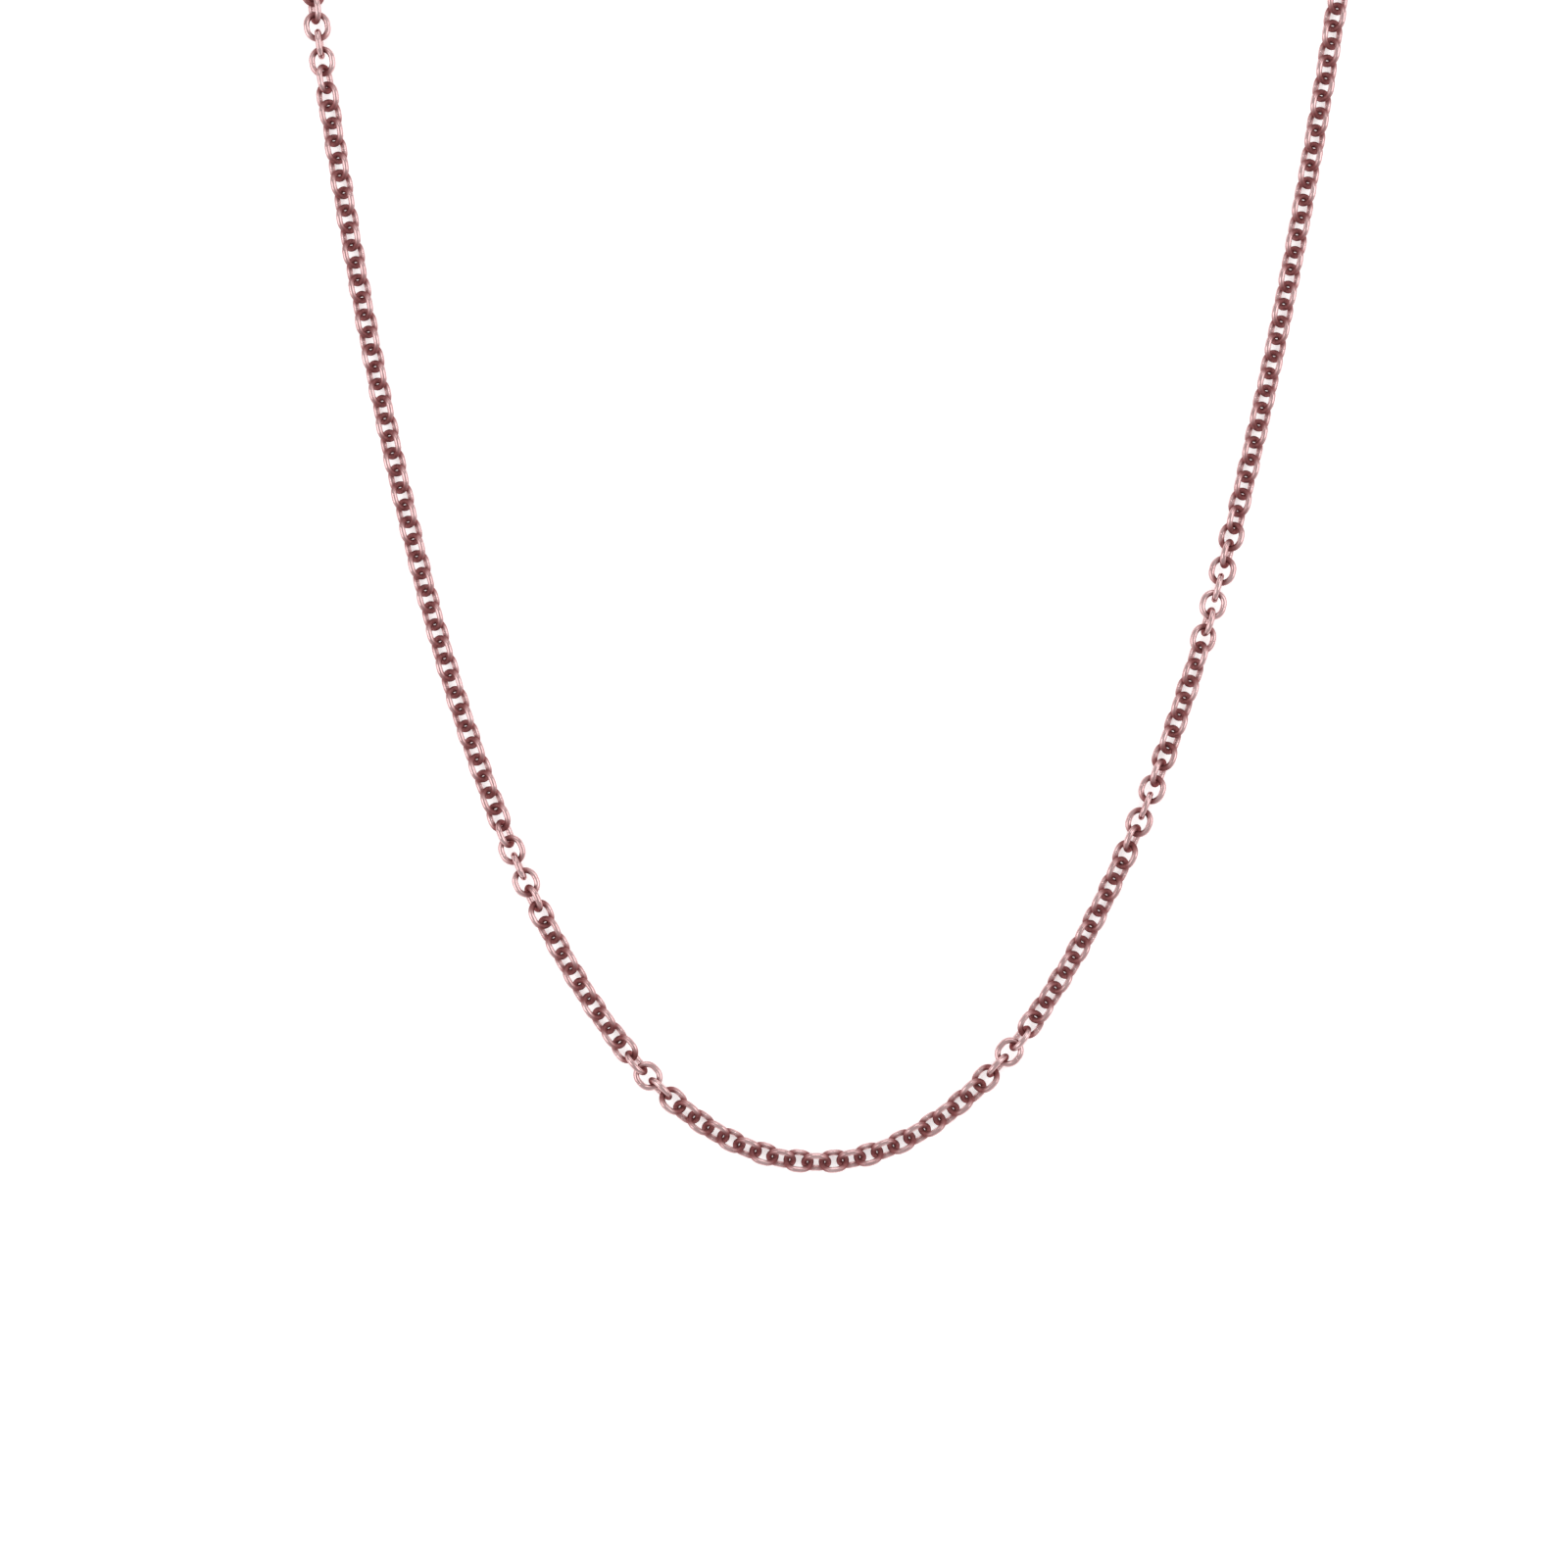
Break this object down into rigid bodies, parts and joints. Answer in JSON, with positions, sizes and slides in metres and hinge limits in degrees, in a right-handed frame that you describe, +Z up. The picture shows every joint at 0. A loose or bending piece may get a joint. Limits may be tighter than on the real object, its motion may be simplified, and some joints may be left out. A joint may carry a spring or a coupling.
{
  "type": "chain necklace",
  "caption": "Fine round cable-chain necklace of interlocked wire rings with a sprung lobster clasp and an end ring, lying flat in a U with the clasp undone.",
  "frame": {"origin": "on the table below the middle of the necklace's outline", "axes": "+Y from the front of the chain to its two ends, +Z up from the table, +X towards the arm with the end ring"},
  "size_m": [0.1026, 0.2076, 0.0026],
  "materials": {
    "rose_gold": "polished",
    "spring_steel": "bright rolled"
  },
  "bodies": {
    "front": {"chain_front": "rose_gold"},
    "left_01": {"chain_left_01": "rose_gold"},
    "left_02": {"chain_left_02": "rose_gold"},
    "left_03": {"chain_left_03": "rose_gold"},
    "left_04": {"chain_left_04": "rose_gold"},
    "left_05": {"chain_left_05": "rose_gold"},
    "left_06": {"chain_left_06": "rose_gold"},
    "left_07": {"chain_left_07": "rose_gold"},
    "left_08": {"chain_left_08": "rose_gold"},
    "left_09": {"chain_left_09": "rose_gold"},
    "left_10": {"chain_left_10": "rose_gold"},
    "left_11": {"chain_left_11": "rose_gold"},
    "left_12": {"chain_left_12": "rose_gold"},
    "left_13": {"chain_left_13": "rose_gold"},
    "left_14": {"chain_left_14": "rose_gold"},
    "left_15": {"chain_left_15": "rose_gold"},
    "left_16": {"chain_left_16": "rose_gold"},
    "left_17": {"chain_left_17": "rose_gold"},
    "left_18": {"chain_left_18": "rose_gold"},
    "left_19": {"chain_left_19": "rose_gold"},
    "left_20": {"chain_left_20": "rose_gold"},
    "left_21": {"chain_left_21": "rose_gold"},
    "left_22": {"chain_left_22": "rose_gold"},
    "left_23": {"chain_left_23": "rose_gold"},
    "left_24": {"chain_left_24": "rose_gold"},
    "left_25": {"chain_left_25": "rose_gold"},
    "left_26": {"chain_left_26": "rose_gold"},
    "right_01": {"chain_right_01": "rose_gold"},
    "right_02": {"chain_right_02": "rose_gold"},
    "right_03": {"chain_right_03": "rose_gold"},
    "right_04": {"chain_right_04": "rose_gold"},
    "right_05": {"chain_right_05": "rose_gold"},
    "right_06": {"chain_right_06": "rose_gold"},
    "right_07": {"chain_right_07": "rose_gold"},
    "right_08": {"chain_right_08": "rose_gold"},
    "right_09": {"chain_right_09": "rose_gold"},
    "right_10": {"chain_right_10": "rose_gold"},
    "right_11": {"chain_right_11": "rose_gold"},
    "right_12": {"chain_right_12": "rose_gold"},
    "right_13": {"chain_right_13": "rose_gold"},
    "right_14": {"chain_right_14": "rose_gold"},
    "right_15": {"chain_right_15": "rose_gold"},
    "right_16": {"chain_right_16": "rose_gold"},
    "right_17": {"chain_right_17": "rose_gold"},
    "right_18": {"chain_right_18": "rose_gold"},
    "right_19": {"chain_right_19": "rose_gold"},
    "right_20": {"chain_right_20": "rose_gold"},
    "right_21": {"chain_right_21": "rose_gold"},
    "right_22": {"chain_right_22": "rose_gold"},
    "right_23": {"chain_right_23": "rose_gold"},
    "right_24": {"chain_right_24": "rose_gold"},
    "right_25": {"chain_right_25": "rose_gold"},
    "right_26": {"chain_right_26": "rose_gold"},
    "clasp_ring": {"clasp_ring": "rose_gold"},
    "clasp": {"clasp_body": "rose_gold", "lever_pin": "rose_gold", "lever_spring": "spring_steel"},
    "lever": {"clasp_lever": "rose_gold"},
    "end_ring": {"end_ring": "rose_gold"}
  },
  "joints": [
    {"name": "clasp_ring_swing", "type": "hinge", "parent": "left_26", "child": "clasp_ring", "pos_m": [-0.04835, 0.09229, 0.00121], "axis": [0, 0, 1], "range_deg": [-20, 20]},
    {"name": "clasp_swing", "type": "hinge", "parent": "clasp_ring", "child": "clasp", "pos_m": [-0.04851, 0.09461, 0.00129], "axis": [0, 0, 1], "range_deg": [-30, 30]},
    {"name": "lever_open", "type": "hinge", "parent": "clasp", "child": "lever", "pos_m": [-0.04908, 0.09765, 0.0012], "axis": [0, 0, -1], "range_deg": [0, 25], "stiffness_Nm_per_rad": 0.004, "springref_deg": -20.05, "deforming": ["lever_spring"]},
    {"name": "end_ring_lift", "type": "hinge", "parent": "right_26", "child": "end_ring", "pos_m": [0.04928, 0.09191, 0.00088], "axis": [0.9975, -0.0703, 0], "range_deg": [0, 120]},
    {"name": "bend_left_01", "type": "hinge", "parent": "front", "child": "left_01", "pos_m": [-0.00402, -0.10221, 0.00081], "axis": [0, 0, 1], "range_deg": [-20, 20]},
    {"name": "bend_left_02", "type": "hinge", "parent": "left_01", "child": "left_02", "pos_m": [-0.01064, -0.09808, 0.00095], "axis": [0, 0, -1], "range_deg": [-20, 20]},
    {"name": "bend_left_03", "type": "hinge", "parent": "left_02", "child": "left_03", "pos_m": [-0.01573, -0.09211, 0.00077], "axis": [0, 0, 1], "range_deg": [-25, 25]},
    {"name": "bend_left_04", "type": "hinge", "parent": "left_03", "child": "left_04", "pos_m": [-0.01974, -0.08536, 0.00086], "axis": [0, 0, -1], "range_deg": [-20, 20]},
    {"name": "bend_left_05", "type": "hinge", "parent": "left_04", "child": "left_05", "pos_m": [-0.02302, -0.07822, 0.00093], "axis": [0, 0, 1], "range_deg": [-25, 25]},
    {"name": "bend_left_06", "type": "hinge", "parent": "left_05", "child": "left_06", "pos_m": [-0.02576, -0.07086, 0.00077], "axis": [0, 0, -1], "range_deg": [-25, 25]},
    {"name": "bend_left_07", "type": "hinge", "parent": "left_06", "child": "left_07", "pos_m": [-0.0281, -0.06335, 0.00077], "axis": [0, 0, 1], "range_deg": [-25, 25]},
    {"name": "bend_left_08", "type": "hinge", "parent": "left_07", "child": "left_08", "pos_m": [-0.03012, -0.05576, 0.00077], "axis": [0, 0, -1], "range_deg": [-25, 25]},
    {"name": "bend_left_09", "type": "hinge", "parent": "left_08", "child": "left_09", "pos_m": [-0.0319, -0.0481, 0.00077], "axis": [0, 0, 1], "range_deg": [-25, 25]},
    {"name": "bend_left_10", "type": "hinge", "parent": "left_09", "child": "left_10", "pos_m": [-0.0335, -0.0404, 0.00077], "axis": [0, 0, -1], "range_deg": [-25, 25]},
    {"name": "bend_left_11", "type": "hinge", "parent": "left_10", "child": "left_11", "pos_m": [-0.03493, -0.03268, 0.00077], "axis": [0, 0, 1], "range_deg": [-25, 25]},
    {"name": "bend_left_12", "type": "hinge", "parent": "left_11", "child": "left_12", "pos_m": [-0.03624, -0.02493, 0.00086], "axis": [0, 0, -1], "range_deg": [-20, 20]},
    {"name": "bend_left_13", "type": "hinge", "parent": "left_12", "child": "left_13", "pos_m": [-0.03745, -0.01716, 0.00093], "axis": [0, 0, 1], "range_deg": [-25, 25]},
    {"name": "bend_left_14", "type": "hinge", "parent": "left_13", "child": "left_14", "pos_m": [-0.03856, -0.00938, 0.00077], "axis": [0, 0, -1], "range_deg": [-25, 25]},
    {"name": "bend_left_15", "type": "hinge", "parent": "left_14", "child": "left_15", "pos_m": [-0.0396, -0.00159, 0.00077], "axis": [0, 0, 1], "range_deg": [-25, 25]},
    {"name": "bend_left_16", "type": "hinge", "parent": "left_15", "child": "left_16", "pos_m": [-0.04056, 0.00621, 0.00093], "axis": [0, 0, -1], "range_deg": [-20, 20]},
    {"name": "bend_left_17", "type": "hinge", "parent": "left_16", "child": "left_17", "pos_m": [-0.04147, 0.01402, 0.00087], "axis": [0, 0, 1], "range_deg": [-25, 25]},
    {"name": "bend_left_18", "type": "hinge", "parent": "left_17", "child": "left_18", "pos_m": [-0.04232, 0.02183, 0.00077], "axis": [0, 0, -1], "range_deg": [-25, 25]},
    {"name": "bend_left_19", "type": "hinge", "parent": "left_18", "child": "left_19", "pos_m": [-0.04313, 0.02965, 0.00077], "axis": [0, 0, 1], "range_deg": [-25, 25]},
    {"name": "bend_left_20", "type": "hinge", "parent": "left_19", "child": "left_20", "pos_m": [-0.04389, 0.03747, 0.00077], "axis": [0, 0, -1], "range_deg": [-25, 25]},
    {"name": "bend_left_21", "type": "hinge", "parent": "left_20", "child": "left_21", "pos_m": [-0.04462, 0.0453, 0.00077], "axis": [0, 0, 1], "range_deg": [-25, 25]},
    {"name": "bend_left_22", "type": "hinge", "parent": "left_21", "child": "left_22", "pos_m": [-0.04531, 0.05313, 0.00077], "axis": [0, 0, -1], "range_deg": [-25, 25]},
    {"name": "bend_left_23", "type": "hinge", "parent": "left_22", "child": "left_23", "pos_m": [-0.04597, 0.06096, 0.00077], "axis": [0, 0, 1], "range_deg": [-25, 25]},
    {"name": "bend_left_24", "type": "hinge", "parent": "left_23", "child": "left_24", "pos_m": [-0.0466, 0.0688, 0.00077], "axis": [0, 0, -1], "range_deg": [-25, 25]},
    {"name": "bend_left_25", "type": "hinge", "parent": "left_24", "child": "left_25", "pos_m": [-0.04721, 0.07663, 0.00077], "axis": [0, 0, 1], "range_deg": [-25, 25]},
    {"name": "bend_left_26", "type": "hinge", "parent": "left_25", "child": "left_26", "pos_m": [-0.04779, 0.08447, 0.00087], "axis": [0, 0, -1], "range_deg": [-25, 25]},
    {"name": "bend_right_01", "type": "hinge", "parent": "front", "child": "right_01", "pos_m": [0.00497, -0.10221, 0.00081], "axis": [0, 0, -1], "range_deg": [-20, 20]},
    {"name": "bend_right_02", "type": "hinge", "parent": "right_01", "child": "right_02", "pos_m": [0.01159, -0.09808, 0.00081], "axis": [0, 0, 1], "range_deg": [-25, 25]},
    {"name": "bend_right_03", "type": "hinge", "parent": "right_02", "child": "right_03", "pos_m": [0.01668, -0.09211, 0.00088], "axis": [0, 0, -1], "range_deg": [-15, 15]},
    {"name": "bend_right_04", "type": "hinge", "parent": "right_03", "child": "right_04", "pos_m": [0.0207, -0.08536, 0.00077], "axis": [0, 0, 1], "range_deg": [-25, 25]},
    {"name": "bend_right_05", "type": "hinge", "parent": "right_04", "child": "right_05", "pos_m": [0.02398, -0.07822, 0.00096], "axis": [0, 0, -1], "range_deg": [-20, 20]},
    {"name": "bend_right_06", "type": "hinge", "parent": "right_05", "child": "right_06", "pos_m": [0.02672, -0.07086, 0.00079], "axis": [0, 0, 1], "range_deg": [-25, 25]},
    {"name": "bend_right_07", "type": "hinge", "parent": "right_06", "child": "right_07", "pos_m": [0.02905, -0.06335, 0.00098], "axis": [0, 0, -1], "range_deg": [-25, 25]},
    {"name": "bend_right_08", "type": "hinge", "parent": "right_07", "child": "right_08", "pos_m": [0.03108, -0.05576, 0.0009], "axis": [0, 0, 1], "range_deg": [-25, 25]},
    {"name": "bend_right_09", "type": "hinge", "parent": "right_08", "child": "right_09", "pos_m": [0.03286, -0.0481, 0.0008], "axis": [0, 0, -1], "range_deg": [-25, 25]},
    {"name": "bend_right_10", "type": "hinge", "parent": "right_09", "child": "right_10", "pos_m": [0.03445, -0.0404, 0.00083], "axis": [0, 0, 1], "range_deg": [-25, 25]},
    {"name": "bend_right_11", "type": "hinge", "parent": "right_10", "child": "right_11", "pos_m": [0.03589, -0.03268, 0.00083], "axis": [0, 0, -1], "range_deg": [-25, 25]},
    {"name": "bend_right_12", "type": "hinge", "parent": "right_11", "child": "right_12", "pos_m": [0.0372, -0.02493, 0.00081], "axis": [0, 0, 1], "range_deg": [-25, 25]},
    {"name": "bend_right_13", "type": "hinge", "parent": "right_12", "child": "right_13", "pos_m": [0.0384, -0.01716, 0.0008], "axis": [0, 0, -1], "range_deg": [-25, 25]},
    {"name": "bend_right_14", "type": "hinge", "parent": "right_13", "child": "right_14", "pos_m": [0.03952, -0.00938, 0.00078], "axis": [0, 0, 1], "range_deg": [-25, 25]},
    {"name": "bend_right_15", "type": "hinge", "parent": "right_14", "child": "right_15", "pos_m": [0.04055, -0.00159, 0.001], "axis": [0, 0, -1], "range_deg": [-25, 25]},
    {"name": "bend_right_16", "type": "hinge", "parent": "right_15", "child": "right_16", "pos_m": [0.04152, 0.00621, 0.00077], "axis": [0, 0, 1], "range_deg": [-25, 25]},
    {"name": "bend_right_17", "type": "hinge", "parent": "right_16", "child": "right_17", "pos_m": [0.04242, 0.01402, 0.00077], "axis": [0, 0, -1], "range_deg": [-25, 25]},
    {"name": "bend_right_18", "type": "hinge", "parent": "right_17", "child": "right_18", "pos_m": [0.04328, 0.02183, 0.00077], "axis": [0, 0, 1], "range_deg": [-25, 25]},
    {"name": "bend_right_19", "type": "hinge", "parent": "right_18", "child": "right_19", "pos_m": [0.04408, 0.02965, 0.00077], "axis": [0, 0, -1], "range_deg": [-25, 25]},
    {"name": "bend_right_20", "type": "hinge", "parent": "right_19", "child": "right_20", "pos_m": [0.04485, 0.03747, 0.00077], "axis": [0, 0, 1], "range_deg": [-25, 25]},
    {"name": "bend_right_21", "type": "hinge", "parent": "right_20", "child": "right_21", "pos_m": [0.04557, 0.0453, 0.00077], "axis": [0, 0, -1], "range_deg": [-25, 25]},
    {"name": "bend_right_22", "type": "hinge", "parent": "right_21", "child": "right_22", "pos_m": [0.04627, 0.05313, 0.00077], "axis": [0, 0, 1], "range_deg": [-25, 25]},
    {"name": "bend_right_23", "type": "hinge", "parent": "right_22", "child": "right_23", "pos_m": [0.04693, 0.06096, 0.00077], "axis": [0, 0, -1], "range_deg": [-25, 25]},
    {"name": "bend_right_24", "type": "hinge", "parent": "right_23", "child": "right_24", "pos_m": [0.04756, 0.0688, 0.00077], "axis": [0, 0, 1], "range_deg": [-25, 25]},
    {"name": "bend_right_25", "type": "hinge", "parent": "right_24", "child": "right_25", "pos_m": [0.04816, 0.07663, 0.00077], "axis": [0, 0, -1], "range_deg": [-25, 25]},
    {"name": "bend_right_26", "type": "hinge", "parent": "right_25", "child": "right_26", "pos_m": [0.04875, 0.08447, 0.0008], "axis": [0, 0, 1], "range_deg": [-25, 25]}
  ]
}
